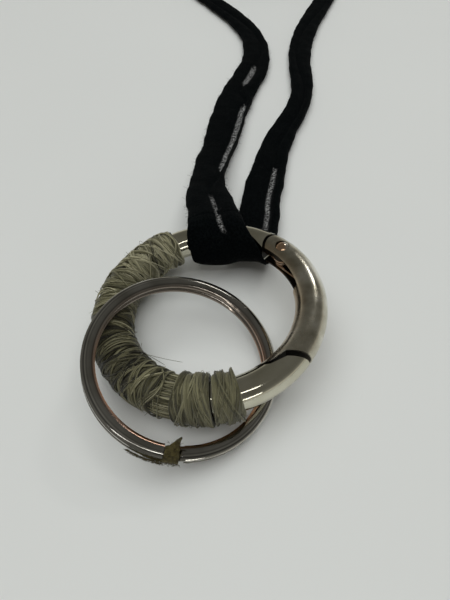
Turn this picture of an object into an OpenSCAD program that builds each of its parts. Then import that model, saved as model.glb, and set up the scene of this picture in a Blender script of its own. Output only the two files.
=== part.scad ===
// Lanyard: a knitted neck band looped through a spring gate ring that is bound with fibre and
// carries a split key ring. It lies on a table, z = 0, with the band running away along +Y.

/* [Gate ring] */
// Radius of the gate ring at the middle of its tube
ring_r = 15.2; // [14.6:0.1:16]
// Radius of the ring's round tube
tube_r = 2.35; // [2.2:0.05:2.5]
// How much the ring leans, its gate side up
ring_tilt = 7; // [5:0.5:8]
// Height of the ring's centre above the table
ring_h = 5.5; // [5.3:0.1:6]

/* [Gate] */
// Where the hinge pin stands round the ring, in degrees
pin_at = 26.5; // [24:0.5:29]
// Radius of the hinge pin
pin_r = 0.8; // [0.7:0.05:0.9]
// Radius of the gate's rounded hinge end
gate_end_r = 2.85; // [2.6:0.05:3]
// Gap between the gate and the ring body
gate_gap = 0.5; // [0.35:0.05:0.55]
// Opening angle of the gate, 0 is shut
gate_open = 0; // [0:1:25]

/* [Fibre binding] */
// Where the binding starts round the ring, in degrees
bind_from = 101.5; // [98:0.5:105]
// Radius of the long winding
wind_r = 3.2; // [3:0.05:3.3]
// Radius of the three thick bundles
bundle_r = 3.55; // [3.3:0.05:3.7]

/* [Split ring] */
// Radius of the split ring at the middle of its wire
split_r = 12.85; // [12.6:0.05:13]
// Width of the flat wire
wire_w = 1.9; // [1.7:0.1:2]
// Height of both coils together
split_h = 2.1; // [1.9:0.1:2.2]
// How much the split ring leans
split_tilt = 16.3; // [16:0.1:17]

/* [Neck band] */
// Width of the band where it is gathered
band_w = 7; // [6:0.5:8]
// Thickness of the gathered band
band_t = 2.2; // [1.8:0.1:2.6]
// Radius of the coil that the far end is wound into, at the middle of its turns
coil_r = 35; // [35:1:38]

/* [Hidden] */
$fn = 96;
facet_fn = 32;

metal_body = "silver";
metal_gate = "lightgray";
metal_wire = "slategray";
fibre = "darkkhaki";
felt = "olivedrab";
band = "black";

// hinge
pin_pos = [ring_r * cos(pin_at), ring_r * sin(pin_at), 0];
ear_z = 1.6;
web_r = ring_r + 1.7;
slot_to = -5;
tongue_z0 = 0.1;
tongue_z1 = 1.5;
tongue_r = 1.5;
neck_r0 = ring_r - 1.2;
neck_r1 = ring_r + 1.2;
neck_to = 44;
bore_gap = 0.05;
head_r = 1.05;
head_z = 2.05;
head_top = 2.48;
seat_r = head_r + 0.08;
seat_z = head_z - 0.05;
spring_r = 1.2;
spring_wire = 0.44;
spring_z = [-1.3, -0.25];
spring_turns = 2;
turn_steps = 20;
leg = 4.2;

// latch: corners of the slanting seam on the gate's side, as [radius, angle], and how far beyond
// them the ring body's corners lie; the elbow is cut back most, to let the gate's end past
seam = [[12.3, -81], [14.1, -65], [14.5, -55], [19, -46]];
seam_gap = [[0.2, -1.2], [0.45, -1.2], [0.8, -2.2], [0, -1.6]];
far_r = 22;
near_r = 9;

// binding
laid_r = tube_r + 0.35;
fit_gap = 0.02;
laid_to = 259.3;
wind_to = 236;
bundles = [[243, 252.4], [252.6, 259.3], [261.5, 273.5]];

// split ring
split_at = [-5.55, -8.05];
split_turn = 140;
wire_end = 110;
wire_start = 122;
coil_gap = 0.1;
wire_h = (split_h - coil_gap) / 2;
wire_crown = 1.5;
level = (wire_h + coil_gap) / 2;
step_inset = 0.03;
step_overlap = 0.5;

// felt tag
felt_from = 76;
felt_out = 0.35;
felt_t = 0.3;
felt_top = 1.3;

// neck band, over and under the ring's tube
band_at = 70;
band_span = 42;
loop_in = tube_r + 0.6;
loop_out = loop_in + 1.55;
loop_mouth = [-90, 60];
FRONT_ROUTE = [
    [4.2, 16, 9.4], [4.4, 20, 8.4], [4.6, 25, 7.0], [5.4, 30, 5.6], [7, 36.5, 4.1], [9, 42.5, 3.0],
    [11.4, 48, 2.2], [13.5, 53.5, 1.8], [15.6, 59, 1.6], [18, 65, 1.5], [20.8, 71, 1.4],
    [24.2, 77.5, 1.4], [28, 84, 1.4], [31.5, 91, 1.4], [34, 99, 1.4], [35.5, 108, 1.4],
    [35.5, 118, 1.4], [34, 129, 1.4], [31, 142, 1.4], [27.5, 156, 1.4], [24.5, 170, 1.4],
    [23.2, 182, 1.4], [23, 192, 1.4]
];
BACK_ROUTE = [
    [10, 12, 2.7], [11.4, 15.6, 2.5], [12.8, 19, 2.3], [14.1, 22.5, 2.1], [15.4, 26.5, 1.9],
    [17.4, 31.5, 1.6], [20.2, 37.5, 1.5], [24, 45.5, 1.4], [28.8, 53.5, 1.4], [34, 61, 1.4],
    [38.4, 69, 1.4], [41.4, 77.5, 1.4], [44, 87, 1.4], [47.5, 97, 1.4], [52, 107, 1.4],
    [58, 118, 1.4], [65.5, 130, 1.4], [73.5, 143, 1.4], [81, 156, 2.2], [87.5, 169, 3.8],
    [91.8, 181, 5.6], [93, 192, 6.5]
];
coil_at = [58, 192];
coil_layers = 3;
tie_t = 0.3;
tie_w = 4;
tie_turn = 75;
coil_h = coil_layers * (band_t + 0.3);

function polar(r, a) = [r * cos(a), r * sin(a)];
function unit(v) = v / norm(v);

// The direction of a route at point i, from its neighbours
function heading(route, i) =
    unit(route[min(i + 1, len(route) - 1)] - route[max(i - 1, 0)]);

// Eight corners round a route point, wide sideways and thin across, on an ellipse that a flat
// strap or a round wire of that size fills
function strap_ring(route, i, w, t) =
    let (
        ahead = heading(route, i),
        side = unit(cross(ahead, [0, 0, 1])),
        across = cross(side, ahead)
    )
    [for (a = [22.5:45:359]) route[i] + side * w * 0.54 * cos(a) + across * t * 0.54 * sin(a)];

// Faces of a swept tube with so many rings of so many corners, closed at both ends
function tube_faces(rings, corners) = concat(
    [[for (k = [0:corners - 1]) k]],
    [for (i = [0:rings - 2], k = [0:corners - 1])
        let (n = (k + 1) % corners)
        [i * corners + k, (i + 1) * corners + k, (i + 1) * corners + n, i * corners + n]],
    [[for (k = [corners - 1:-1:0]) (rings - 1) * corners + k]]
);

// A strap or a wire swept along a route
module swept(route, w, t) {
    rings = [for (i = [0:len(route) - 1]) each strap_ring(route, i, w, t)];
    polyhedron(rings, tube_faces(len(route), 8));
}

// The frame of the leaning gate ring: its axis is local Z
module ring_frame() {
    translate([0, 0, ring_h]) rotate([0, -ring_tilt, 0]) children();
}

// The frame of the leaning split ring: local X points to its high side
module split_frame() {
    rest = (split_r + wire_w / 2) * sin(split_tilt) + split_h / 2 * cos(split_tilt);
    translate([split_at.x, split_at.y, rest]) rotate([0, -split_tilt, split_turn]) children();
}

// Part of a round tube about the ring's axis, between two angles
module sleeve(r_in, r_out, from, to) {
    rotate_extrude(angle = to - from, start = from)
        translate([ring_r, 0])
            difference() {
                circle(r_out);
                if (r_in > 0) circle(r_in);
            }
}

// Plan of the space that belongs to the gate; gap is 1 to grow it up to the ring body's faces
module gate_plan(gap, end_r) {
    polygon(concat(
        [for (i = [0:3]) polar(seam[i][0] + gap * seam_gap[i][0], seam[i][1] + gap * seam_gap[i][1])],
        [for (a = [-44, -20, 4, pin_at]) polar(far_r, a)],
        [for (a = [pin_at, 0, -30, -60, -84]) polar(near_r, a)]
    ));
    translate([pin_pos.x, pin_pos.y]) circle(end_r);
}

// The fixed C of the gate ring, with the tongue that the gate hinges on
module ring_body() {
    color(metal_body) ring_frame() difference() {
        union() {
            difference() {
                rotate_extrude() translate([ring_r, 0]) circle(tube_r);
                translate([0, 0, -tube_r - 1]) linear_extrude(2 * tube_r + 2)
                    gate_plan(1, gate_end_r + gate_gap);
            }
            translate([0, 0, tongue_z0]) linear_extrude(tongue_z1 - tongue_z0) tongue_plan();
        }
        translate(pin_pos) cylinder(r = pin_r, h = 4 * tube_r, center = true);
    }
}

// Plan of the tongue: an eye round the pin and a neck back to the body
module tongue_plan() {
    translate([pin_pos.x, pin_pos.y]) circle(tongue_r);
    polygon(concat(
        [for (a = [pin_at:4:neck_to]) polar(neck_r1, a)],
        [for (a = [neck_to:-4:pin_at]) polar(neck_r0, a)]
    ));
}

// The swinging gate: a round bar, folded to a channel round the hinge
module gate() {
    color(metal_gate) ring_frame() turned_gate() difference() {
        intersection() {
            rotate_extrude() translate([ring_r, 0]) circle(tube_r);
            translate([0, 0, -tube_r - 1]) linear_extrude(2 * tube_r + 2)
                gate_plan(0, gate_end_r);
        }
        translate([0, 0, -ear_z]) linear_extrude(2 * ear_z) channel_plan();
        translate(pin_pos) cylinder(r = pin_r + bore_gap, h = 4 * tube_r, center = true);
        for (side = [0, 1]) mirror([0, 0, side])
            translate(pin_pos + [0, 0, seat_z]) cylinder(r = seat_r, h = tube_r);
    }
}

// Turns the gate about its pin, for looking at it open
module turned_gate() {
    translate(pin_pos) rotate(-gate_open) translate(-pin_pos) children();
}

// Plan of the hollow between the gate's two ears
module channel_plan() {
    polygon(concat(
        [for (a = [slot_to:5:50]) polar(web_r, a)],
        [for (a = [50:-5:slot_to]) polar(near_r, a)]
    ));
}

// The rivet through the ears and the tongue, with a low domed head at each end
module hinge_pin() {
    color(metal_gate) ring_frame() translate(pin_pos) {
        cylinder(r = pin_r, h = 2 * head_z, center = true);
        for (side = [0, 1]) mirror([0, 0, side]) translate([0, 0, head_z])
            rotate_extrude() rivet_profile();
    }
}

// Half section of a rivet head
module rivet_profile() {
    rise = head_top - head_z;
    dome_r = (head_r * head_r + rise * rise) / (2 * rise);
    intersection() {
        translate([0, rise - dome_r]) circle(dome_r);
        square([head_r, rise]);
    }
}

// Middle line of the spring about its axis: a leg, the turns and the other leg
function spring_route() =
    let (steps = spring_turns * turn_steps, rise = (spring_z[1] - spring_z[0]) / steps)
    concat(
        [[-spring_r, -leg, spring_z[0]]],
        [for (k = [0:steps]) concat(polar(spring_r, 180 - 360 * k / turn_steps), spring_z[0] + rise * k)],
        [[-spring_r, leg, spring_z[1]]]
    );

// The torsion spring round the pin, below the tongue, with one leg each way
module gate_spring() {
    color(metal_wire) ring_frame() translate(pin_pos) rotate(pin_at)
        swept(spring_route(), spring_wire, spring_wire);
}

// The layer of fibres laid along the tube, under the turns
module fibre_core() {
    color(fibre) ring_frame() sleeve(tube_r + fit_gap, laid_r, bind_from + 0.5, laid_to);
}

// The long winding over the laid fibres
module fibre_winding() {
    color(fibre) ring_frame() sleeve(laid_r + fit_gap, wind_r, bind_from, wind_to);
}

// One of the three thick bundles of turns; the last one grips the bare tube
module fibre_bundle(i) {
    inner = i < 2 ? laid_r : tube_r;
    color(fibre) ring_frame() sleeve(inner + fit_gap, bundle_r, bundles[i][0], bundles[i][1]);
}

// Section of the flat wire: crowned above and below, with round edges; inset where asked
module wire_section(inset = 0) {
    crown = wire_crown - inset;
    rise = wire_h / 2 - wire_crown;
    intersection() {
        circle(wire_w / 2 - inset);
        translate([0, rise]) circle(crown);
        translate([0, -rise]) circle(crown);
    }
}

// The split ring: two coils of one flat wire, joined by a short climbing step
module split_ring() {
    sweep = 360 - wire_start + wire_end;
    color(metal_wire) split_frame() {
        for (z = [-level, level]) translate([0, 0, z])
            rotate_extrude(angle = sweep, start = wire_start)
                translate([split_r, 0]) wire_section();
        wire_step();
    }
}

// The step where the lower coil climbs to become the upper one: a short slanting bar
module wire_step() {
    middle = (wire_end + wire_start) / 2;
    run = 2 * split_r * sin((wire_start - wire_end) / 2);
    slant = atan(2 * level / run);
    rotate(middle) translate([split_r - step_inset, 0, 0]) rotate([90 + slant, 0, 0])
        linear_extrude(run / cos(slant) + step_overlap, center = true)
            wire_section(step_inset);
}

// The scrap of felt pinched between the coils, its end standing up over the step
module felt_tag() {
    edge = split_r + wire_w / 2;
    color(felt) split_frame() {
        rotate_extrude(angle = wire_end - felt_from, start = felt_from)
            translate([edge + 0.02, -felt_t]) square([felt_out, 2 * felt_t]);
        rotate_extrude(angle = 10, start = wire_end + 0.5)
            translate([split_r - wire_w / 2 - 0.3, level])
                square([wire_w + 0.6 + felt_out, felt_top - level]);
        rotate_extrude(angle = 11.5, start = wire_end - 1)
            translate([edge + 0.02, -felt_t]) square([felt_out, felt_top + felt_t]);
    }
}

// Half section of the band where it goes round the tube: open where the strands leave
module loop_section() {
    reach = 2 * loop_out;
    difference() {
        circle(loop_out);
        circle(loop_in);
        polygon(concat(
            [[0, 0]],
            [for (a = [loop_mouth[0]:30:loop_mouth[1]]) polar(reach, a)]
        ));
    }
}

// The fold of the band round the ring's tube
module band_loop() {
    color(band) ring_frame()
        rotate_extrude(angle = band_span, start = band_at - band_span / 2)
            translate([ring_r, 0]) loop_section();
}

// The strand that comes over the top of the ring
module band_front() {
    color(band) swept(FRONT_ROUTE, band_w, band_t);
}

// The strand that leaves from under the ring
module band_back() {
    color(band) swept(BACK_ROUTE, band_w, band_t);
}

// The rest of the neck loop, wound into a flat coil
module band_coil() {
    color(band) translate([coil_at.x, coil_at.y, tie_t]) rotate_extrude()
        translate([coil_r - band_w / 2, 0]) square([band_w, coil_h]);
}

// The tape that holds the coil
module band_tie() {
    gap = 0.05;
    inner = [band_w + 2 * gap, coil_h + gap];
    outer = [inner.x + 2 * tie_t, inner.y + 2 * tie_t];
    color(band) translate([coil_at.x, coil_at.y, 0]) rotate(tie_turn)
        translate([coil_r, 0, 0]) rotate([90, 0, 0])
            linear_extrude(tie_w, center = true) difference() {
                translate([-outer.x / 2, 0]) square(outer);
                translate([-inner.x / 2, tie_t - gap / 2]) square(inner);
            }
}

ring_body();
gate();
hinge_pin();
gate_spring();
fibre_core();
fibre_winding();
fibre_bundle(0);  // fibre_bundle_1
fibre_bundle(1);  // fibre_bundle_2
fibre_bundle(2);  // fibre_bundle_3
split_ring();
felt_tag();
band_loop();
band_front();
band_back();
band_coil();
band_tie();
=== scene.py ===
"""Looks of the lanyard: a black knit neck band on a spring gate ring that is bound with plant fibre,
with a split key ring and a scrap of felt. Lengths are in millimetres until a mesh is made."""

import math

import bpy
import numpy as np
from mathutils import Matrix, Vector


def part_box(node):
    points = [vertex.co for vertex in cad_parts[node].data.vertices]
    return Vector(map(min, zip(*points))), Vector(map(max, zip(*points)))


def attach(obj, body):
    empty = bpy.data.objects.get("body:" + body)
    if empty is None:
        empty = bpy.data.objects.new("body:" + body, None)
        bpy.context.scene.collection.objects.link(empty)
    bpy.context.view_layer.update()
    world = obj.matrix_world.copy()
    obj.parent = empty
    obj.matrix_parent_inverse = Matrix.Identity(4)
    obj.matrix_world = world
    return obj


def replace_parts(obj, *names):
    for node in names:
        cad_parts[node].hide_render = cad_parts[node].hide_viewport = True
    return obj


MM = 0.001
UP = np.array([0.0, 0.0, 1.0])

# The gate ring leans about Y by this angle, and its centre stands this high over the table
RING_TILT = math.radians(7)
RING_HEIGHT = 5.5
RING_R = 15.2
TUBE_R = 2.35
PIN_AT = math.radians(26.5)
# Centre and turn of the gate ring, as a material's mapping takes them
RING_FRAME = ((0, 0, RING_HEIGHT), (0, -RING_TILT, 0))

# The fibre binding, in degrees round the ring
WINDING = (101.5, 236)
BUNDLES = ((243, 252.4), (252.6, 259.3), (261.5, 273.5))
LAID_SHOWN = (230, 247)

# The split ring's frame and its wire
SPLIT_CENTRE = (-5.55, -8.05, 4.881)
SPLIT_TILT = math.radians(16.3)
SPLIT_TURN = math.radians(140)
SPLIT_R = 12.85
WIRE_W = 1.9
SPLIT_INNER = SPLIT_R - WIRE_W / 2
SPLIT_OUTER = SPLIT_R + WIRE_W / 2
SPLIT_FRAME = (SPLIT_CENTRE, (0, -SPLIT_TILT, SPLIT_TURN))

# The neck band: routes of its two strands away from the ring, then the coil of the unseen length
FRONT_ROUTE = [
    (4.2, 16, 9.4), (4.4, 20, 8.4), (4.6, 25, 7.0), (5.4, 30, 5.6), (7, 36.5, 4.1), (9, 42.5, 3.0),
    (11.4, 48, 2.2), (13.5, 53.5, 1.8), (15.6, 59, 1.6), (18, 65, 1.5), (20.8, 71, 1.4),
    (24.2, 77.5, 1.4), (28, 84, 1.4), (31.5, 91, 1.4), (34, 99, 1.4), (35.5, 108, 1.4),
    (35.5, 118, 1.4), (34, 129, 1.4), (31, 142, 1.4), (27.5, 156, 1.4), (24.5, 170, 1.4),
    (23.2, 182, 1.4), (23, 192, 1.4),
]
BACK_ROUTE = [
    (10, 12, 2.7), (11.4, 15.6, 2.5), (12.8, 19, 2.3), (14.1, 22.5, 2.1), (15.4, 26.5, 1.9),
    (17.4, 31.5, 1.6), (20.2, 37.5, 1.5), (24, 45.5, 1.4), (28.8, 53.5, 1.4), (34, 61, 1.4),
    (38.4, 69, 1.4), (41.4, 77.5, 1.4), (44, 87, 1.4), (47.5, 97, 1.4), (52, 107, 1.4),
    (58, 118, 1.4), (65.5, 130, 1.4), (73.5, 143, 1.4), (81, 156, 2.2), (87.5, 169, 3.8),
    (91.8, 181, 5.6), (93, 192, 6.5),
]
COIL_CENTRE = (58, 192)
COIL_R = 35
COIL_TURNS = 2.5
COIL_LAYER = 2.5
COIL_LOW = 1.55
COIL_WANDER = 0.7
COIL_POINTS_PER_TURN = 48

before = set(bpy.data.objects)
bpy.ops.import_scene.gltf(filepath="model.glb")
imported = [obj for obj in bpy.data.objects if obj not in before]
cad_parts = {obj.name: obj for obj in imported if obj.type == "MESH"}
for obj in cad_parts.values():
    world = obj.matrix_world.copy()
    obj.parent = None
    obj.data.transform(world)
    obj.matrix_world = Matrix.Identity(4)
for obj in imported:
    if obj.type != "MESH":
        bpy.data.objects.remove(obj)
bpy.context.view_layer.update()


# ---- places -------------------------------------------------------------------------------------


def ring_to_world(points):
    """Points in the leaning gate ring's own frame, moved to the shared frame."""
    c, s = math.cos(RING_TILT), math.sin(RING_TILT)
    x, y, z = points[..., 0], points[..., 1], points[..., 2]
    return np.stack([x * c - z * s, y, x * s + z * c + RING_HEIGHT], axis=-1)


def tube_point(az, rho, theta):
    """A point at distance rho from the tube's middle line: az is round the ring and theta round
    the tube, from 0 on the outer side to 90 on top, both in degrees."""
    az, theta = np.radians(az), np.radians(theta)
    reach = RING_R + rho * np.cos(theta)
    return ring_to_world(
        np.stack(np.broadcast_arrays(reach * np.cos(az), reach * np.sin(az), rho * np.sin(theta)), axis=-1)
    )


def split_to_world(points):
    """Points in the leaning split ring's own frame, moved to the shared frame."""
    c, s = math.cos(SPLIT_TILT), math.sin(SPLIT_TILT)
    x, y, z = points[..., 0], points[..., 1], points[..., 2]
    x, z = x * c - z * s, x * s + z * c
    c, s = math.cos(SPLIT_TURN), math.sin(SPLIT_TURN)
    return np.stack([x * c - y * s, x * s + y * c, z], axis=-1) + np.array(SPLIT_CENTRE)


def unit(vectors):
    return vectors / np.maximum(np.linalg.norm(vectors, axis=-1, keepdims=True), 1e-12)


def smooth(t):
    t = np.clip(t, 0, 1)
    return t * t * (3 - 2 * t)


def through(points, per_span):
    """A smooth curve through the points, with so many steps a span."""
    p = np.array(points, float)
    p = np.vstack([2 * p[0] - p[1], p, 2 * p[-1] - p[-2]])
    t = np.linspace(0, 1, per_span, endpoint=False)[:, None]
    spans = []
    for a, b, c, d in zip(p, p[1:], p[2:], p[3:]):
        spans.append(
            0.5 * (2 * b + (c - a) * t + (2 * a - 5 * b + 4 * c - d) * t**2 + (3 * b - a - 3 * c + d) * t**3)
        )
    return np.vstack(spans + [p[-2:-1]])


def lengths(path):
    """Distance along a path at each of its points."""
    return np.concatenate([[0], np.cumsum(np.linalg.norm(np.diff(path, axis=0), axis=1))])


def even(path, step):
    """The path with its points a step apart."""
    s = lengths(path)
    at = np.linspace(0, s[-1], max(2, int(round(s[-1] / step)) + 1))
    return np.stack([np.interp(at, s, path[:, k]) for k in range(3)], axis=1)


# ---- meshes -------------------------------------------------------------------------------------


def piece(name, verts, faces, material, body, attributes=()):
    """A mesh piece from points in millimetres, riding on a body. Its faces are smooth, apart from the
    many-sided ones that close a wide end."""
    mesh = bpy.data.meshes.new(name)
    mesh.from_pydata((np.asarray(verts).reshape(-1, 3) * MM).tolist(), [], faces)
    mesh.polygons.foreach_set("use_smooth", [len(face) <= 4 for face in faces])
    for key, values in attributes:
        attribute = mesh.attributes.new(key, "FLOAT", "POINT")
        attribute.data.foreach_set("value", np.ravel(values).astype(np.float32))
    mesh.validate()
    mesh.update()
    obj = bpy.data.objects.new(name, mesh)
    bpy.context.scene.collection.objects.link(obj)
    obj.data.materials.append(material)
    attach(obj, body)
    return obj


def lattice(rows, columns, first=0):
    """Faces between rows of points, each row a closed ring."""
    r = np.arange(rows - 1)[:, None] * columns
    c = np.arange(columns)[None, :]
    n = (c + 1) % columns
    faces = np.stack([r + c, r + n, r + columns + n, r + columns + c], axis=-1)
    return (first + faces).reshape(-1, 4).tolist()


def capped(rows, columns, first=0):
    """Faces of a tube with both its ends closed."""
    last = first + (rows - 1) * columns
    ends = [list(range(first + columns - 1, first - 1, -1)), list(range(last, last + columns))]
    return lattice(rows, columns, first) + ends


def threads(paths, outward, radius, sides=4):
    """Points and faces of many round threads at once. paths is threads by points by 3."""
    along = unit(np.gradient(paths, axis=1))
    side = unit(np.cross(along, outward))
    over = np.cross(side, along)
    turn = np.arange(sides) * 2 * math.pi / sides
    radius = np.broadcast_to(radius, paths.shape[:2])[..., None, None]
    ring = side[..., None, :] * np.cos(turn)[:, None] + over[..., None, :] * np.sin(turn)[:, None]
    verts = paths[..., None, :] + ring * radius
    count, rows = paths.shape[:2]
    faces = []
    for k in range(count):
        faces += capped(rows, sides, k * rows * sides)
    return verts.reshape(-1, 3), faces


def beside(paths):
    """A direction across each path at each of its points, for threads that lie round no tube."""
    return unit(np.cross(np.gradient(paths, axis=1), UP) + 1e-6)


def joined(parts):
    """Several (points, faces, values) groups as one."""
    verts, faces, values, first = [], [], [], 0
    for v, f, a in parts:
        verts.append(v)
        faces += [[i + first for i in face] for face in f]
        values.append(a)
        first += len(v)
    return np.vstack(verts), faces, np.concatenate(values)


# ---- materials ----------------------------------------------------------------------------------


# Dark colour painted as shade in the gaps of the metal, and the roughness there
GAP_SHADE = (0.045, 0.038, 0.028)
GAP_ROUGH = (0.6, 0.6, 0.6)


class Look:
    """A material that is being put together: its nodes, its links and its shader."""

    def __init__(self, name, **sockets):
        self.material = bpy.data.materials.new(name)
        self.material.use_nodes = True
        self.tree = self.material.node_tree
        self.shader = self.tree.nodes["Principled BSDF"]
        for key, value in sockets.items():
            self.shader.inputs[key.replace("_", " ")].default_value = value
        self.place = self.node("ShaderNodeTexCoord").outputs["Object"]

    def node(self, kind, **settings):
        made = self.tree.nodes.new(kind)
        for key, value in settings.items():
            if key in made.inputs:
                made.inputs[key].default_value = value
            else:
                setattr(made, key, value)
        return made

    def link(self, a, b):
        self.tree.links.new(a, b)

    def stretched(self, scale):
        mapping = self.node("ShaderNodeMapping", Scale=scale)
        self.link(self.place, mapping.inputs["Vector"])
        return mapping.outputs["Vector"]

    def ring_place(self, centre, turn):
        """Places in the frame of a ring that has this centre in millimetres and this turn."""
        mapping = self.node("ShaderNodeMapping", vector_type="TEXTURE")
        mapping.inputs["Location"].default_value = [v * MM for v in centre]
        mapping.inputs["Rotation"].default_value = turn
        self.link(self.place, mapping.inputs["Vector"])
        parts = self.node("ShaderNodeSeparateXYZ")
        self.link(mapping.outputs["Vector"], parts.inputs["Vector"])
        flat = self.node("ShaderNodeCombineXYZ")
        for axis in "XY":
            self.link(parts.outputs[axis], flat.inputs[axis])
        reach = self.node("ShaderNodeVectorMath", operation="LENGTH")
        self.link(flat.outputs["Vector"], reach.inputs[0])
        return reach.outputs["Value"], parts.outputs["Z"]

    def share(self, value, low, high):
        """0 to 1 as a length goes from low to high, in millimetres."""
        made = self.node("ShaderNodeMapRange")
        made.inputs["From Min"].default_value = low * MM
        made.inputs["From Max"].default_value = high * MM
        self.link(value, made.inputs["Value"])
        return made.outputs["Result"]

    def along(self, axis):
        """The place's coordinate on one axis."""
        parts = self.node("ShaderNodeSeparateXYZ")
        self.link(self.place, parts.inputs["Vector"])
        return parts.outputs[axis]

    def ring_reach(self, ring_frame, low, high):
        """0 to 1 as the distance from a ring's axis goes from low to high, in millimetres."""
        return self.share(self.ring_place(*ring_frame)[0], low, high)

    def painted_gap_shade(self):
        """Where shade is painted: 1 in the gaps of the gate ring, below the skin of its round tube, and 0 on
        that skin.
        """
        reach, height = self.ring_place(*RING_FRAME)
        off = self.node("ShaderNodeMath", operation="SUBTRACT")
        self.link(reach, off.inputs[0])
        off.inputs[1].default_value = RING_R * MM
        across = self.node("ShaderNodeCombineXYZ")
        self.link(off.outputs["Value"], across.inputs["X"])
        self.link(height, across.inputs["Y"])
        deep = self.node("ShaderNodeVectorMath", operation="LENGTH")
        self.link(across.outputs["Vector"], deep.inputs[0])
        return self.share(deep.outputs["Value"], TUBE_R - 0.07, TUBE_R - 0.22)

    def ring_lines(self, ring_frame):
        """Places that are the same all the way round a ring, so that a noise draws lines along it."""
        reach, height = self.ring_place(*ring_frame)
        lines = self.node("ShaderNodeCombineXYZ")
        self.link(reach, lines.inputs["X"])
        self.link(height, lines.inputs["Z"])
        return lines.outputs["Vector"]

    def noise(self, scale, detail=3.0, place=None, roughness=0.5):
        made = self.node("ShaderNodeTexNoise", Scale=scale, Detail=detail, Roughness=roughness)
        self.link(place or self.place, made.inputs["Vector"])
        return made.outputs["Fac"]

    def ramp(self, value, *stops):
        made = self.node("ShaderNodeValToRGB")
        ramp = made.color_ramp
        while len(ramp.elements) < len(stops):
            ramp.elements.new(0.5)
        for element, (at, colour) in zip(ramp.elements, stops):
            element.position = at
            element.color = (*colour, 1) if isinstance(colour, tuple) else (colour, colour, colour, 1)
        self.link(value, made.inputs["Fac"])
        return made.outputs["Color"]

    def mix(self, share, a, b):
        made = self.node("ShaderNodeMix", data_type="RGBA")
        for value, socket in ((share, made.inputs[0]), (a, made.inputs[6]), (b, made.inputs[7])):
            if isinstance(value, bpy.types.NodeSocket):
                self.link(value, socket)
            else:
                socket.default_value = (*value, 1) if isinstance(value, tuple) else value
        return made.outputs[2]

    def times(self, a, b):
        made = self.node("ShaderNodeMix", data_type="RGBA", blend_type="MULTIPLY")
        made.inputs[0].default_value = 1.0
        self.link(a, made.inputs[6])
        self.link(b, made.inputs[7])
        return made.outputs[2]

    def bump(self, height, strength, distance):
        made = self.node("ShaderNodeBump", Strength=strength, Distance=distance)
        self.link(height, made.inputs["Height"])
        self.link(made.outputs["Normal"], self.shader.inputs["Normal"])

    def attribute(self, name):
        return self.node("ShaderNodeAttribute", attribute_name=name).outputs["Fac"]

    def to(self, value, socket):
        self.link(value, self.shader.inputs[socket])


def polished_nickel():
    """Bright plating with fine scratches, and painted shade in its gaps."""
    look = Look("polished_nickel", Metallic=1.0)
    plate = look.ramp(look.noise(260, 4), (0.3, (0.54, 0.515, 0.40)), (0.7, (0.68, 0.66, 0.55)))
    # Painted shade: the gaps are coloured dark.
    deep = look.painted_gap_shade()
    look.to(look.mix(deep, plate, GAP_SHADE), "Base Color")
    scratches = look.noise(900, 5, look.stretched((1, 1, 6)))
    bright = look.ramp(scratches, (0.35, 0.06), (0.75, 0.16))
    look.to(look.mix(deep, bright, GAP_ROUGH), "Roughness")
    look.bump(scratches, 0.06, 0.00002)
    return look.material


def worn_nickel():
    """Satin plating, brownish where it is worn, most of all along the ring's inner side."""
    look = Look("worn_nickel", Metallic=1.0)
    patches = look.ramp(
        look.noise(200, 4),
        (0.34, (0.36, 0.33, 0.25)), (0.5, (0.60, 0.57, 0.47)), (0.64, (0.82, 0.80, 0.73)),
    )
    inside = look.ring_reach(RING_FRAME, RING_R - 2.4, RING_R - 0.5)
    wear = look.ramp(inside, (0.0, 0.9), (0.25, 0.45), (1.0, 0.0))
    rubbed = look.mix(wear, patches, (0.50, 0.35, 0.21))
    # Painted shade: the gaps are coloured dark.
    deep = look.painted_gap_shade()
    look.to(look.mix(deep, rubbed, GAP_SHADE), "Base Color")
    grain = look.noise(2600, 4)
    satin = look.ramp(look.noise(320, 4), (0.35, 0.17), (0.7, 0.34))
    look.to(look.mix(deep, satin, GAP_ROUGH), "Roughness")
    look.bump(grain, 0.14, 0.00002)
    return look.material


def rivet_metal():
    """The pin: bright on one side of its head and coppery on the other."""
    look = Look("rivet_metal", Metallic=1.0, Roughness=0.16)
    pin_x = RING_R * math.cos(PIN_AT)
    side = look.share(look.along("X"), pin_x - 0.25, pin_x + 0.25)
    look.to(look.mix(side, (0.60, 0.41, 0.27), (0.70, 0.67, 0.60)), "Base Color")
    look.bump(look.noise(1500, 3), 0.1, 0.00002)
    return look.material


def split_ring_steel():
    """Dark drawn steel with lines along the wire and bands of painted shade and reflection across its width,
    coppery along its inner edge at the near side.
    """
    look = Look("split_ring_steel", Metallic=1.0)
    steel = look.ramp(look.noise(220, 3), (0.3, (0.40, 0.385, 0.34)), (0.7, (0.62, 0.605, 0.56)))
    across = look.ring_reach(SPLIT_FRAME, SPLIT_INNER, SPLIT_OUTER)
    # Painted shade and reflection: dark bands at set places across the wire, with lighter lines between
    # them.
    painted_light_bands = look.ramp(
        across,
        (0.13, 1.0), (0.19, 0.2), (0.28, 0.6), (0.5, 0.72), (0.6, 0.5), (0.66, 1.0), (0.71, 1.0),
        (0.77, 0.22), (0.88, 1.0),
    )
    steel = look.times(steel, painted_light_bands)
    inside = look.ring_reach(SPLIT_FRAME, SPLIT_INNER + 0.05, SPLIT_INNER + 0.5)
    near = look.share(look.along("Y"), -2, -15)
    worn = look.mix(near, (0.26, 0.21, 0.17), (0.58, 0.25, 0.12))
    look.to(look.mix(look.ramp(inside, (0.0, 0.9), (1.0, 0.0)), steel, worn), "Base Color")
    drawn = look.noise(1700, 1, look.ring_lines(SPLIT_FRAME))
    look.to(look.ramp(drawn, (0.35, 0.08), (0.75, 0.19)), "Roughness")
    look.bump(drawn, 0.5, 0.00012)
    return look.material


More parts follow.
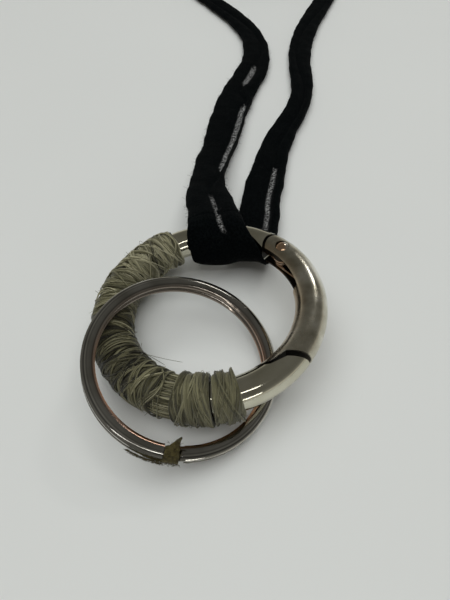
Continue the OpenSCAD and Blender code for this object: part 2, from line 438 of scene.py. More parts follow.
def spring_wire():
    look = Look("spring_wire", Metallic=1.0, Roughness=0.25)
    tones = look.ramp(look.noise(900, 3), (0.35, (0.42, 0.24, 0.13)), (0.7, (0.62, 0.50, 0.40)))
    look.to(tones, "Base Color")
    return look.material


def flax_fibre():
    look = Look("flax_fibre", Roughness=0.5, Sheen_Weight=0.15)
    tint = look.attribute("tint")
    colour = look.ramp(
        tint,
        (0.0, (0.015, 0.013, 0.006)), (0.3, (0.079, 0.073, 0.034)),
        (0.7, (0.215, 0.201, 0.111)), (1.0, (0.48, 0.452, 0.30)),
    )
    patches = look.ramp(look.noise(190, 3), (0.35, 0.72), (0.65, 1.0))
    look.to(look.times(colour, patches), "Base Color")
    look.bump(look.noise(9000, 2), 0.25, 0.00003)
    return look.material


def olive_felt():
    look = Look("olive_felt", Roughness=0.95, Sheen_Weight=0.06)
    tones = look.ramp(look.noise(2400, 5), (0.3, (0.024, 0.018, 0.005)), (0.7, (0.10, 0.082, 0.030)))
    look.to(tones, "Base Color")
    look.bump(look.noise(5000, 4), 0.8, 0.0001)
    return look.material


def black_knit():
    """Matt black stitches. Where the knit is pulled thin, light comes through it as grey specks."""
    look = Look(
        "black_knit", Roughness=1.0, Sheen_Weight=0.022, Sheen_Roughness=0.4, Specular_IOR_Level=0.02
    )
    stitches = look.node("ShaderNodeTexVoronoi", Scale=3600.0)
    look.link(look.stretched((1, 0.7, 1)), stitches.inputs["Vector"])
    cell = stitches.outputs["Distance"]
    dark = look.ramp(cell, (0.15, (0.0006, 0.001, 0.0012)), (0.75, (0.0032, 0.0042, 0.0046)))
    specks = look.ramp(look.noise(2900, 4, roughness=0.7), (0.46, 0.008), (0.62, 0.42))
    look.to(look.mix(look.attribute("thin"), dark, specks), "Base Color")
    look.bump(cell, 0.5, 0.00012)
    return look.material


def black_tape():
    look = Look("black_tape", Roughness=0.85)
    weave = look.node("ShaderNodeTexChecker", Scale=2600.0)
    look.link(look.place, weave.inputs["Vector"])
    look.to(look.mix(weave.outputs["Fac"], (0.007, 0.007, 0.008), (0.016, 0.016, 0.018)), "Base Color")
    look.bump(weave.outputs["Fac"], 0.4, 0.00008)
    return look.material


def table_top():
    look = Look("table_top", Roughness=0.55)
    tones = look.ramp(look.noise(6, 3), (0.3, (0.78, 0.79, 0.78)), (0.7, (0.81, 0.82, 0.81)))
    look.to(tones, "Base Color")
    return look.material


# ---- camera, light and table --------------------------------------------------------------------

CAMERA_PLACE = (-6.58, -42.6, 59.07)
CAMERA_RIGHT = (0.9763, -0.2160, -0.0092)
CAMERA_UP = (0.1719, 0.7497, 0.6390)
# The white of the narrow lamps, and of the ceiling lamp
LAMP_WHITE = (1.0, 0.99, 0.97)
CEILING_WHITE = (0.975, 1.0, 0.985)
TABLE_HALF = 1500


def camera():
    """Stands over the lanyard's near end and looks down at it, about 50 degrees."""
    data = bpy.data.cameras.new("camera")
    data.sensor_fit = "VERTICAL"
    data.sensor_height = 36
    data.lens = 27
    data.clip_start = 0.002
    obj = bpy.data.objects.new("camera", data)
    right = Vector(CAMERA_RIGHT).normalized()
    up = Vector(CAMERA_UP)
    up = (up - up.dot(right) * right).normalized()
    axes = Matrix((right, up, right.cross(up))).transposed()
    obj.matrix_world = Matrix.Translation(Vector(CAMERA_PLACE) * MM) @ axes.to_4x4()
    bpy.context.scene.collection.objects.link(obj)
    bpy.context.scene.camera = obj


def area_light(name, place, size, power, colour=LAMP_WHITE, target=(0, 0, 5)):
    """A soft rectangular light at a place in millimetres, facing the target."""
    data = bpy.data.lights.new(name, "AREA")
    data.shape = "RECTANGLE"
    data.size, data.size_y = size[0] * MM, size[1] * MM
    data.energy = power
    data.color = colour
    obj = bpy.data.objects.new(name, data)
    aim = (Vector(target) - Vector(place)).to_track_quat("-Z", "Y").to_matrix().to_4x4()
    obj.matrix_world = Matrix.Translation(Vector(place) * MM) @ aim
    bpy.context.scene.collection.objects.link(obj)
    return obj


def studio():
    """A dark room with light walls low down, a soft ceiling lamp that the metal doesn't mirror, and
    three narrow lamps whose streaks it does."""
    world = bpy.data.worlds.new("studio")
    world.use_nodes = True
    nodes, links = world.node_tree.nodes, world.node_tree.links
    parts = nodes.new("ShaderNodeSeparateXYZ")
    links.new(nodes.new("ShaderNodeTexCoord").outputs["Generated"], parts.inputs["Vector"])
    ramp = nodes.new("ShaderNodeValToRGB")
    stops = ((0.0, 0.42), (0.1, 0.55), (0.22, 0.22), (0.42, 0.13), (0.7, 0.12), (1.0, 0.13))
    while len(ramp.color_ramp.elements) < len(stops):
        ramp.color_ramp.elements.new(0.5)
    for element, (height, grey) in zip(ramp.color_ramp.elements, stops):
        element.position = height
        element.color = (grey, grey * 0.98, grey * 0.9, 1)
    links.new(parts.outputs["Z"], ramp.inputs["Fac"])
    links.new(ramp.outputs["Color"], nodes["Background"].inputs["Color"])
    bpy.context.scene.world = world
    bpy.context.scene.view_settings.view_transform = "Standard"
    ceiling = area_light(
        "lamp_ceiling", (-40, 210, 860), (1400, 1150), 7.0, CEILING_WHITE, target=(0, 180, 0)
    )
    ceiling.visible_glossy = False
    area_light("lamp_near", (-70, -330, 620), (420, 34), 0.26)
    area_light("lamp_low", (30, -620, 190), (380, 44), 0.26)
    area_light("lamp_far", (400, 450, 480), (150, 50), 0.3)


def table():
    mesh = bpy.data.meshes.new("table")
    corners = [(x * TABLE_HALF, y * TABLE_HALF, 0) for x, y in ((-1, -1), (1, -1), (1, 1), (-1, 1))]
    mesh.from_pydata((np.array(corners) * MM).tolist(), [], [(0, 1, 2, 3)])
    obj = bpy.data.objects.new("table", mesh)
    obj.data.materials.append(table_top())
    bpy.context.scene.collection.objects.link(obj)


# ---- neck band ----------------------------------------------------------------------------------

# Half width of the band at a distance along it, from the ring outwards
FRONT_HALF = [
    (0, 4.6), (5, 4.3), (11, 3.9), (20, 3.3), (31, 3.6), (43, 4.2), (56, 4.5), (72, 4.5), (100, 3.6),
]
BACK_HALF = [
    (0, 3.4), (8, 3.8), (15, 4.0), (24, 3.9), (36, 3.5), (47, 3.1), (60, 2.8), (70, 3.0), (100, 3.5),
]
BAND_HALF = 3.5
BAND_RISE = 1.05
# Where the two rolled edges lie apart and the thin knit between them shows:
# from and to along the strand, sideways place and half width as shares of the half width
FRONT_THIN = [(-5.5, 10, 0.12, 0.095), (20, 57, 0.72, 0.17), (65, 80, 0.1, 0.2)]
BACK_THIN = [(4, 30, 0.38, 0.16)]
SECTION_POINTS = 56
# The tape round the coil: its place on the coil, its width across the turns, its thickness, the
# radius of its corners and how far it stands over the table
TAPE_AT = math.radians(75)
TAPE_WIDE = 7.5
TAPE_THICK = 0.3
TAPE_CORNER = 1.1
TAPE_LOW = 0.35
# The fold turns into the strand over this length, and its middle is at this place round the ring
BLEND = 4.5
FOLD_AT = math.radians(75)
# Outlines of the fold, and how much smaller its last ones are than the strand that they run into
FOLD_ROWS = 84
TUCKED = 0.993
# The band's outlines keep this far over the table
BAND_CLEAR = 0.12
# Random starts of the knit's crinkles and of its uneven edges
CRINKLE_SEED = 3
EDGE_SEED = 4
# Hairs on the knit, half of them on so many of the first outlines
FUZZ = 2600
FUZZY_ROWS = 150


def coil_route():
    """The turns of the coil, one on another: each turn climbs a layer just before it closes."""
    t = np.linspace(0, COIL_TURNS, int(COIL_TURNS * COIL_POINTS_PER_TURN) + 1)[1:-1]
    turn = math.pi - 2 * math.pi * t
    layer = np.floor(t) + smooth((t % 1 - 0.8) / 0.2)
    wander = COIL_WANDER * np.sin(2 * math.pi * t * 0.83)
    reach = COIL_R + wander * smooth(t / 0.3) * smooth((COIL_TURNS - t) / 0.3)
    x = COIL_CENTRE[0] + reach * np.cos(turn)
    y = COIL_CENTRE[1] + reach * np.sin(turn)
    return np.stack([x, y, COIL_LOW + COIL_LAYER * layer], axis=1)


def band_section(x_split, gap, pressed):
    """One closed outline across the band, for a half width and a half thickness of 1: two rolled
    edges that meet at x_split, or end a gap short of it on each side with thin knit between them."""
    turn = np.linspace(0, 2 * math.pi, SECTION_POINTS, endpoint=False)
    x, top = np.cos(turn), np.sin(turn) >= 0
    height = np.zeros_like(x)
    for low, high in ((-1, x_split - gap), (x_split + gap, 1)):
        middle, half = (low + high) / 2, (high - low) / 2 * 1.04
        height = np.maximum(height, np.sqrt(np.clip(1 - ((x - middle) / half) ** 2, 0, 1)))
    height = np.maximum(height, 0.16 + 0.28 * pressed * np.sqrt(np.clip(1 - x**2, 0, 1)))
    height *= np.clip((1 - np.abs(x)) / 0.02, 0, 1) ** 0.5
    return x, np.where(top, height, -0.8 * height)


def ripple(s, x, seed):
    """Crinkles of the knit: long waves along the band that change across it."""
    rng = np.random.default_rng(seed)
    total = np.zeros(np.broadcast(s, x).shape)
    for wave, size in ((17, 1.0), (9.5, 0.8), (5.2, 0.55), (2.9, 0.3), (1.7, 0.16)):
        a, b, c = rng.uniform(0, 6.28, 3)
        along = np.sin(2 * math.pi * s / wave + a + 1.6 * np.sin(2.1 * x + b))
        total = total + size * along * np.cos(2.4 * x + c)
    return total / 2


def pinch(gap):
    """How far the two rolled edges are pressed together, less where they lie apart."""
    return smooth(1 - gap / 0.05) * 0.9


def band_rings(path, half, rise, split, gap, bow):
    """Points and thin-knit values of the band's outlines along a path. bow bends each outline, so
    that the first ones follow the ring."""
    ahead = unit(np.gradient(path, axis=0))
    side = unit(np.cross(ahead, UP))
    over = np.cross(side, ahead)
    s = lengths(path)
    rows, thin = [], []
    for i in range(len(path)):
        x, height = band_section(split[i], gap[i], pinch(gap[i]))
        w = x * half[i] * (1 + 0.05 * ripple(s[i], 0 * x + 0.4, EDGE_SEED))
        h = height * rise[i] * (1 + 0.16 * ripple(s[i], x, CRINKLE_SEED))
        point = path[i] + side[i] * w[:, None] + over[i] * h[:, None]
        point = point + bow[i] * (w**2)[:, None]
        point[:, 2] = np.maximum(point[:, 2], BAND_CLEAR)
        rows.append(point)
        thin.append(thin_share(x, split[i], gap[i]))
    return np.array(rows), np.array(thin)


def thin_share(x, split, gap):
    """How much of the thin knit shows at each place across an outline."""
    seen = np.clip(1 - np.abs(x - split) / max(gap, 1e-6), 0, 1)
    return smooth(seen * 2.2) * smooth((gap - 0.02) / 0.05)


def thin_places(s, stretches, flip):
    """Where the rolls meet, and how far apart they lie, at each distance along a strand."""
    split = 0.4 * np.sin(s / 13.0 + 0.7)
    gap = np.zeros_like(s)
    for start, end, place, half in stretches:
        inside = smooth((s - start) / 4) * smooth((end - s) / 4)
        near = smooth((s - start + 8) / 8) * smooth((end + 8 - s) / 8)
        split = split * (1 - near) + flip * place * near
        gap = np.maximum(gap, half * inside)
    return split, gap


def fold_outlines(strand, ahead):
    """The band where it goes round the tube: its outlines from under the ring to over it. The last
    ones turn into the first outlines of the strand, which runs on from there in direction ahead."""
    # Round the tube: angle, then the middle's place round the ring, distance from the tube's middle
    # line, half width, and how closely the outer side hugs the tube
    theta = np.array([292, 270, 240, 210, 180, 150, 120, 95, 68.0])
    middle = np.array([52, 52, 56, 60, 62, 65, 69.5, 73, 75.3])
    rho = np.array([4.0, 3.95, 3.9, 3.85, 3.8, 3.7, 3.6, 3.6, 3.65])
    half = np.array([3.4, 3.8, 4.9, 5.9, 6.3, 6.2, 5.6, 5.1, 4.6])
    tight = np.array([0, 0.3, 1, 1, 1, 0.9, 0.5, 0.15, 0])
    steps = np.linspace(0, len(theta) - 1, FOLD_ROWS)
    theta, middle, rho, half, tight = (
        np.interp(steps, np.arange(len(theta)), v) for v in (theta, middle, rho, half, tight)
    )
    middle_line = tube_point(middle, rho, theta)
    before = lengths(middle_line) - lengths(middle_line)[-1]
    split, gap = thin_places(before, FRONT_THIN, 1)
    rows, thin = [], []
    for i, t in enumerate(theta):
        x, height = band_section(split[i], gap[i], pinch(gap[i]))
        wave = ripple(before[i], x, CRINKLE_SEED)
        out = rho[i] + height * 0.92 * (1 + 0.16 * wave)
        close = tight[i] * smooth((x + 0.45) / 1.25)
        out = out * (1 - close) + (TUBE_R + 0.35 + 0.32 * height) * close
        out = np.maximum(out + 0.1 * tight[i] * wave, TUBE_R + 0.2)
        reach = RING_R + out * math.cos(math.radians(t))
        edge = 1 + 0.04 * ripple(before[i], 0 * x + 0.4, EDGE_SEED)
        turn = middle[i] - np.degrees(x * half[i] * edge / reach)
        meet = smooth(1 + before[i] / BLEND)
        onward = strand[0] + ahead * before[i]
        rows.append(tube_point(turn, out, t) * (1 - meet) + onward * meet)
        thin.append(thin_share(x, split[i], gap[i]))
    for outline in strand[1:4]:
        centre = outline.mean(axis=0)
        rows.append(centre + (outline - centre) * TUCKED)
        thin.append(np.zeros(SECTION_POINTS))
    return np.array(rows), np.array(thin)


def neck_band():
    """The whole neck loop as one cord: over the ring, out to the coil and back under the ring."""
    knit = black_knit()
    front = even(through(FRONT_ROUTE, 12), 0.7)
    coil = even(through(np.vstack([FRONT_ROUTE[-1:], coil_route(), BACK_ROUTE[-1:]]), 3), 1.6)
    back = even(through(BACK_ROUTE, 12), 0.7)[::-1]
    path = np.vstack([front, coil[1:-1], back])
    s = lengths(path)
    left = s[-1] - s
    near = s < left
    half = np.where(near, np.interp(s, *np.array(FRONT_HALF).T), np.interp(left, *np.array(BACK_HALF).T))
    rise = BAND_RISE * (BAND_HALF / half) ** 0.25
    split_f, gap_f = thin_places(s, FRONT_THIN, 1)
    split_b, gap_b = thin_places(left, BACK_THIN, -1)
    split, gap = np.where(near, split_f, split_b), np.where(near, gap_f, gap_b)
    outward = np.array([math.cos(FOLD_AT), math.sin(FOLD_AT), 0])
    bow = -outward[None, :] / (2 * RING_R) * (1 - smooth(s / 9))[:, None]
    rows, thin = band_rings(path, half, rise, split, gap, bow)
    band = piece(
        "neck_band", rows, capped(len(rows), SECTION_POINTS), knit, "band", [("thin", thin)]
    )
    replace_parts(band, "band_front", "band_back", "band_coil")

    fold_rows, fold_thin = fold_outlines(rows, unit(path[1] - path[0]))
    fold = piece(
        "band_fold", fold_rows, capped(len(fold_rows), SECTION_POINTS), knit, "band",
        [("thin", fold_thin)],
    )
    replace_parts(fold, "band_loop")
    knit_fuzz(np.concatenate([rows, fold_rows]), knit)

    tie = tie_tape()


def knit_fuzz(rows, material):
    """Fine short hairs that stand out of the knit."""
    rng = np.random.default_rng(8)
    row = rng.integers(0, len(rows), FUZZ)
    row[: FUZZ // 2] = rng.integers(0, FUZZY_ROWS, FUZZ // 2)
    start = rows[row, rng.integers(0, SECTION_POINTS, FUZZ)]
    out = unit(start - rows[row].mean(axis=1)) + rng.normal(0, 0.6, (FUZZ, 3))
    bend = rng.normal(0, 0.35, (FUZZ, 3))
    t = np.linspace(0, 1, 5)[None, :, None]
    reach = rng.uniform(0.2, 0.75, (FUZZ, 1, 1))
    paths = start[:, None] + (unit(out)[:, None] * t + bend[:, None] * t**2) * reach
    paths[..., 2] = np.maximum(paths[..., 2], 0.03)
    verts, faces = threads(paths, beside(paths), 0.014, 3)
    piece("knit_fuzz", verts, faces, material, "band")


def tape_line(tall):
    """The tape's way round the coil's section, with its end lapped over its start."""
    line = []
    for x, y, start in ((1, -1, -90), (1, 1, 0), (-1, 1, 90), (-1, -1, 180)):
        for k in np.linspace(0, 90, 9):
            angle = math.radians(start + k)
            line.append((
                x * (TAPE_WIDE / 2 - TAPE_CORNER) + TAPE_CORNER * math.cos(angle),
                tall / 2 + y * (tall / 2 - TAPE_CORNER) + TAPE_CORNER * math.sin(angle),
                0.0,
            ))
    line += [line[0]] + [(TAPE_WIDE / 2 * 1.02, tall * k, 0.0) for k in (0.3, 0.55, 0.75)]
    return even(np.array(line), 0.4)


def tie_tape():
    """A tape round the coil, its end lapped over on the coil's outer side."""
    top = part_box("band_tie")[1].z / MM
    across = np.array([math.cos(TAPE_AT), math.sin(TAPE_AT), 0])
    along = np.array([-math.sin(TAPE_AT), math.cos(TAPE_AT), 0])
    centre = np.array([*COIL_CENTRE, 0]) + COIL_R * across
    line = tape_line(top - TAPE_LOW)
    heading = unit(np.gradient(line, axis=0))
    out = np.stack([heading[:, 1], -heading[:, 0]], axis=1)
    lap = smooth((lengths(line) - lengths(line)[-1] + 5) / 2) * TAPE_THICK
    outline = [(v, 0) for v in (-2, -1, 0, 1, 2)] + [(v, TAPE_THICK) for v in (2, 1, 0, -1, -2)]
    rows = []
    for i, (x, y, _) in enumerate(line):
        row = []
        for v, o in outline:
            reach = o + lap[i] + 0.3
            height = max(y + out[i, 1] * reach + TAPE_LOW, 0.02 + o * 0.8)
            edge = along * v * (0.98 + 0.03 * math.sin(i))
            row.append(centre + across * (x + out[i, 0] * reach) + UP * height + edge)
        rows.append(row)
    faces = capped(len(rows), len(outline))
    tape = piece("tie_tape", np.array(rows), faces, black_tape(), "band")
    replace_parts(tape, "band_tie")
    return tape


# ---- fibre binding ------------------------------------------------------------------------------

STRAND_R = 0.08
STRAND_POINTS = 34
# Tint of the sleeves under the strands: near black, as painted shade between the strands
SLEEVE_SHADE_TINT = 0.03
# The winding is darkest at this place round the ring, over this spread, both in degrees
SHADED_AT = 206
SHADED_OVER = 32
# Layers of the winding: hanks, strands in a hank, spread and slant in degrees, radius under the
# hanks, how far they bulge, and how far they cross over
WINDING_LAYERS = (
    (50, 8, 2.4, 4.0, 2.62, 0.3, 0.0),
    (40, 8, 2.1, 6.0, 2.82, 0.42, 2.5),
    (46, 3, 1.2, 12.0, 3.12, 0.12, 4.0),
)
# Hanks in each bundle's main layer, and the spread of a hank in degrees
BUNDLE_HANKS = (5, 4, 6)
BUNDLE_SPREAD = 1.9


def turns_of_fibre(rng, span, count, strands, spread, slant, low, thick, sweep=1.1, cross=0.0, loose=1.0):
    """Hanks of strands wound round the tube in turns, as paths and the directions away from the tube.
    span is in degrees, low is the radius under a turn and thick is how far it bulges. cross is how
    far each hank sweeps along the ring over the side that faces up and out, one way or the other, and
    loose is how far its strands wander from each other."""
    def each(low_end, high_end, *shape):
        return rng.uniform(low_end, high_end, shape or (count, 1, 1))

    own = (count, strands, 1)
    t = np.linspace(0, 1, STRAND_POINTS)[None, None, :]
    w = ((np.arange(strands) + 0.5) / strands * 2 - 1)[None, :, None]
    w = w + each(-0.16, 0.16, *own) * loose
    theta = each(0, 360) + 360 * sweep * t + each(-9, 9, *own)
    angle = np.radians(theta)
    middle = (span[0] + (np.arange(count) + 0.5) / count * (span[1] - span[0]))[:, None, None]
    middle = middle + each(-0.35, 0.35) * spread
    phase, phase2 = each(0, 6.28), each(0, 6.28)
    lean = each(-slant, slant) + each(-0.6, 0.6, *own) * loose
    twist = np.sin(angle * 0.5 + phase2) * 0.5
    width = spread * (0.8 + 0.35 * np.cos(angle + phase2))
    az = middle + np.clip(w + twist * w**2, -1.2, 1.2) * width + lean * np.sin(angle + phase)
    way = np.where(rng.random((count, 1, 1)) < 0.5, -1, 1)
    az = az + cross * way * np.sin(angle - math.radians(60) + each(-0.3, 0.3))
    az = az + loose * each(-0.35, 0.35, *own) * np.sin(2 * angle + each(0, 6.28, *own))
    az = span[0] + smooth_clip((az - span[0]) / (span[1] - span[0])) * (span[1] - span[0])
    az = az + uneven_end(az, angle, span)
    bulge = np.sqrt(np.clip(1 - w**2, 0, 1)) * (0.6 + 0.4 * np.cos(angle + phase))
    rho = low + thick * bulge + each(-0.06, 0.06, *own) * loose
    rho = rho + each(0, 0.08, *own) * np.sin(3 * angle + each(0, 6.28, *own))
    rho = np.broadcast_to(rho, az.shape)
    theta = np.broadcast_to(theta, az.shape)
    paths = tube_point(az, rho, theta).reshape(-1, STRAND_POINTS, 3)
    middle_line = tube_point(az, 0 * az, theta).reshape(-1, STRAND_POINTS, 3)
    tint = each(0.22, 0.85) + each(-0.3, 0.3, *own)
    shade = 0.3 * np.exp(-(((middle - SHADED_AT) / SHADED_OVER) ** 2))
    tint = tint + 0.1 - shade - 0.14 * (middle > BUNDLES[0][0])
    tint = np.broadcast_to(tint, own).reshape(-1)
    return paths, unit(paths - middle_line), tint


def smooth_clip(t, edge=0.02):
    """Keeps t between 0 and 1, and pushes what lies outside back in by a little."""
    low = edge * np.exp(t / edge - 1)
    high = 1 - edge * np.exp((1 - t) / edge - 1)
    return np.where(t < edge, low, np.where(t > 1 - edge, high, t))


def uneven_end(az, angle, span):
    """How far the binding's ends wander along the tube, at each angle round it."""
    size = min(0.75, (span[1] - span[0]) * 0.025)
    wave = size * (np.sin(angle + span[0]) + 0.7 * np.sin(2.3 * angle + span[1]) + 0.4 * np.sin(5 * angle))
    near = np.minimum(np.abs(az - span[0]), np.abs(az - span[1]))
    return wave * (1 - smooth(near / 5))


def thread_group(paths, outward, tint, radius=STRAND_R):
    """Threads that taper at both ends, each with its own tint."""
    rows = paths.shape[1]
    taper = np.minimum(1, 0.35 + np.minimum(np.arange(rows), np.arange(rows)[::-1]) / 2)
    verts, faces = threads(paths, outward, radius * taper[None, :])
    return verts, faces, np.repeat(np.clip(tint, 0, 1), rows * 4)


def under_layer(span, rho, tint):
    """A closed lumpy sleeve under the strands, so that no gap shows through them. Its dark tint is painted
    shade.
    """
    rows, columns = 90, 48
    az = np.linspace(span[0] + 0.3, span[1] - 0.3, rows)[:, None]
    theta = np.linspace(0, 360, columns, endpoint=False)[None, :]
    lump = 0.05 * np.sin(np.radians(theta) * 3 + az * 0.9) + 0.05 * np.sin(np.radians(theta) * 5 - az * 1.7)
    outer = tube_point(az, rho + lump, theta)
    inner = tube_point(az, TUBE_R + 0.03 + 0 * lump, theta)
    verts = np.vstack([outer.reshape(-1, 3), inner.reshape(-1, 3)])
    skin = lattice(rows, columns)
    lining = [face[::-1] for face in lattice(rows, columns, rows * columns)]
    rims = []
    for row in (0, rows - 1):
        for c in range(columns):
            n = (c + 1) % columns
            a, b = row * columns + c, row * columns + n
            face = [a, a + rows * columns, b + rows * columns, b]
            rims.append(face if row else face[::-1])
    return verts, skin + lining + rims, np.full(len(verts), tint)


def fibre_binding():
    """The winding, the strands laid under it, the three thick bundles of turns and the loose hairs."""
    flax = flax_fibre()
    rng = np.random.default_rng(11)
    groups = [under_layer(WINDING, 2.62, SLEEVE_SHADE_TINT)]
    for *layer, cross in WINDING_LAYERS:
        groups.append(thread_group(*turns_of_fibre(rng, WINDING, *layer, cross=cross, loose=0.6)))
    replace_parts(flax_piece("fibre_turns", groups, flax), "fibre_winding")

    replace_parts(flax_piece("laid_fibres", [laid_fibres(rng)], flax), "fibre_core")

    for i, (span, count) in enumerate(zip(BUNDLES, BUNDLE_HANKS)):
        groups = [under_layer(span, 2.85, SLEEVE_SHADE_TINT)]
        # As in the winding's layers, but with one spread for all: the last few strands lie on top
        for hanks, strands, slant, low, thick, cross in (
            (count + 1, 13, 1.2, 2.85, 0.4, 0.6),
            (count, 13, 0.8, 2.98, 0.58, 2.6),
            (3, 2, 2.0, 3.5, 0.06, 3.5),
        ):
            paths, outward, tint = turns_of_fibre(
                rng, span, hanks, strands, BUNDLE_SPREAD, slant, low, thick, 1.2, cross, 0.35
            )
            groups.append(thread_group(paths, outward, 0.45 + 0.55 * (tint - 0.45), 0.1))
        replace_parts(flax_piece(f"thick_turns_{i + 1}", groups, flax), f"fibre_bundle_{i + 1}")

    flax_piece("stray_fibres", [stray_fibres(rng), long_strays()], flax)


def flax_piece(name, groups, material):
    """Groups of fibre threads as one piece on the gate ring."""
    verts, faces, tint = joined(groups)
    return piece(name, verts, faces, material, "ring", [("tint", tint)])


def laid_fibres(rng):
    """Strands lying along the tube, seen between the winding and the first thick turns."""
    count = 190
    theta = np.linspace(0, 360, count, endpoint=False)[:, None] + rng.uniform(-4, 4, (count, 1))
    t = np.linspace(0, 1, 14)[None, :]
    az = LAID_SHOWN[0] + (LAID_SHOWN[1] - LAID_SHOWN[0]) * t + 0 * theta
    theta = theta + rng.uniform(-4, 4, (count, 1)) * np.sin(math.pi * t + rng.uniform(0, 3, (count, 1)))
    rho = TUBE_R + rng.uniform(0.05, 0.5, (count, 1)) + 0.1 * np.sin(math.pi * t)
    az = az + rng.uniform(-0.5, 0.5, (count, 1))
    paths = tube_point(az, rho, theta)
    outward = unit(paths - tube_point(az, 0 * rho, theta))
    return thread_group(paths, outward, rng.uniform(0.2, 1.0, count), 0.065)


def stray_fibres(rng):
    """Short hairs and small loops that stand out of the binding."""
    count = 110
    spans = [WINDING] * 6 + list(BUNDLES) * 2
    chosen = [spans[k] for k in rng.integers(0, len(spans), count)]
    az = np.array([rng.uniform(a + 1, b - 1) for a, b in chosen])[:, None]
    theta = rng.uniform(0, 360, (count, 1))
    t = np.linspace(0, 1, 9)[None, :]
    reach = rng.uniform(0.2, 0.9, (count, 1))
    loop = rng.random((count, 1)) < 0.35
    lift = np.where(loop, reach * np.sin(math.pi * t), reach * t**1.3)
    rho = 3.1 + lift * 0.8
    theta = theta + rng.uniform(-35, 35, (count, 1)) * t
    az = az + rng.uniform(-3.5, 3.5, (count, 1)) * t
    paths = tube_point(az, rho, theta)
    outward = beside(paths)
    return thread_group(paths, outward, rng.uniform(0.3, 0.9, count), 0.03)


def long_strays():
    """The few long hairs that can be told apart: two in the opening and a slack loop below."""
    lines = []
    for start, end, sag in (
        ((207, 3.0, 165), (239.8, 4.7, 159), 0.5),
        ((204, 3.0, 168), (228.6, 3.6, 153), 0.7),
        ((156, 3.0, 20), (153, 4.4, 8), 0.2),
        ((229, 3.1, 322), (240, 3.0, 300), -1.5),
    ):
        t = np.linspace(0, 1, 16)[:, None]
        a, b = (tube_point(np.array(p[0]), np.array(p[1]), np.array(p[2])) for p in (start, end))
        bend = np.sin(math.pi * t) * sag * np.array([0.5, -0.6, 0.2])
        lines.append(a + (b - a) * t + bend)
    paths = np.array(lines)
    outward = beside(paths)
    return thread_group(paths, outward, np.array([0.35, 0.3, 0.45, 0.7]), 0.035)


# ---- felt and metal -----------------------------------------------------------------------------


# The felt's flap, from this angle round the split ring and over this many degrees, and where the
# thin strip beside it starts
FLAP_FROM = 110.4
FLAP_SPAN = 8.2
STRIP_FROM = 92
STRIP_SHAPE = (60, 8)
FELT_STEP = 0.22
FELT_HAIRS = 420


def split_point(reach, angle, height):
    """Points at a distance from the split ring's axis, an angle round it and a height over its middle."""
    return split_to_world(np.stack([reach * np.cos(angle), reach * np.sin(angle), height], axis=-1))


def felt_group(rows):
    """Rows of points, each round the felt, as one closed group."""
    count, columns = rows.shape[:2]
    return rows.reshape(-1, 3), capped(count, columns), np.zeros(count * columns)


def felt_flap(rng):
    """The part that turns up over the wire beside the cut end, with one corner standing."""
    rows = []
    for a in np.linspace(FLAP_FROM, FLAP_FROM + FLAP_SPAN, 14):
        k = (a - FLAP_FROM) / FLAP_SPAN
        peak = 1.3 + 1.9 * smooth((k - 0.6) / 0.4)
        tip = SPLIT_INNER + 0.55 - 0.8 * smooth(k / 0.8)
        line = [
            (SPLIT_OUTER + 0.1, -0.45), (SPLIT_OUTER + 0.32, 0.1), (SPLIT_OUTER + 0.2, 0.8),
            (SPLIT_R + 0.5, 1.2), (SPLIT_R, 1.25), (tip + 0.15, 1.2 + 0.3 * (peak - 1.3)), (tip, peak),
        ]
        line = even(np.array([(r, z, 0.0) for r, z in line]), FELT_STEP)
        outer = [(r, z) for r, z, _ in line]
        lining = [(r - 0.22, z - 0.2) for r, z in outer[::-1]]
        rows.append([(r, z, a) for r, z in outer + lining])
    count = min(len(r) for r in rows)
    rows = np.array([[r[int(round(i))] for i in np.linspace(0, len(r) - 1, count)] for r in rows])
    rough = rng.normal(0, 0.035, rows.shape[:2])
    return felt_group(split_point(rows[..., 0] + rough, np.radians(rows[..., 2]), rows[..., 1] + rough))


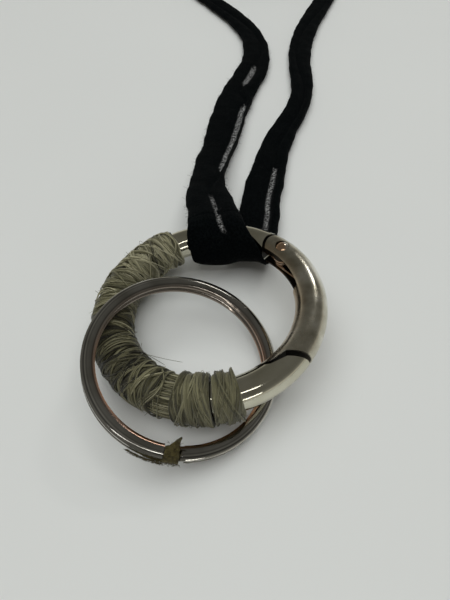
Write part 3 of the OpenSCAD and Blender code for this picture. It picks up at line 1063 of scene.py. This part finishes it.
def felt_strip(rng):
    """The thin strip that shows along the outside of the coils."""
    a = np.radians(np.linspace(STRIP_FROM, 112, STRIP_SHAPE[0]))[:, None]
    turn = np.linspace(0, 2 * math.pi, STRIP_SHAPE[1], endpoint=False)[None, :]
    size = 0.05 + 0.3 * smooth((np.degrees(a) - STRIP_FROM) / 16)
    r = SPLIT_OUTER - 0.02 + size * 0.6 * np.cos(turn) + rng.normal(0, 0.03, STRIP_SHAPE)
    z = -0.1 + size * np.sin(turn) + rng.normal(0, 0.03, STRIP_SHAPE)
    return felt_group(split_point(r, a, z))


def felt_hairs(rng):
    """Short hairs on the flap and along the strip."""
    each = (FELT_HAIRS, 1)
    a = rng.uniform(STRIP_FROM, 119, each)
    t = np.linspace(0, 1, 5)[None, :]
    on_flap = (a > FLAP_FROM + 0.2) & (rng.random(each) < 0.7)
    r0 = np.where(on_flap, rng.uniform(SPLIT_INNER - 0.2, SPLIT_OUTER + 0.2, each), SPLIT_OUTER + 0.25)
    z0 = np.where(on_flap, 1.2, rng.uniform(-0.35, 0.25, each))
    reach = rng.uniform(0.12, 0.4, each)
    lean = rng.uniform(-1, 1, each)
    r = r0 + np.where(on_flap, 0.3 * lean, 0.9) * reach * t
    z = z0 + np.where(on_flap, 0.9, 0.7 * lean) * reach * t
    a = np.radians(a + rng.uniform(-2.5, 2.5, each) * t)
    paths = split_point(r, a, z)
    verts, faces = threads(paths, beside(paths), 0.018)
    return verts, faces, np.zeros(len(verts))


def felt_scrap():
    """The felt pinched between the coils: a flap, a strip along their outside and hairs."""
    rng = np.random.default_rng(5)
    verts, faces, _ = joined([felt_flap(rng), felt_strip(rng), felt_hairs(rng)])
    verts[:, 2] = np.maximum(verts[:, 2], 0.02)
    scrap = piece("felt_scrap", verts, faces, olive_felt(), "split")
    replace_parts(scrap, "felt_tag")


def paint(node, material):
    """Gives a CAD node its finish."""
    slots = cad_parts[node].data.materials
    slots.clear()
    slots.append(material)


def metal():
    """The finishes of the pieces that keep their CAD shape."""
    paint("ring_body", polished_nickel())
    paint("gate", worn_nickel())
    paint("hinge_pin", rivet_metal())
    paint("gate_spring", spring_wire())
    paint("split_ring", split_ring_steel())


camera()
neck_band()
fibre_binding()
felt_scrap()
metal()
table()
studio()
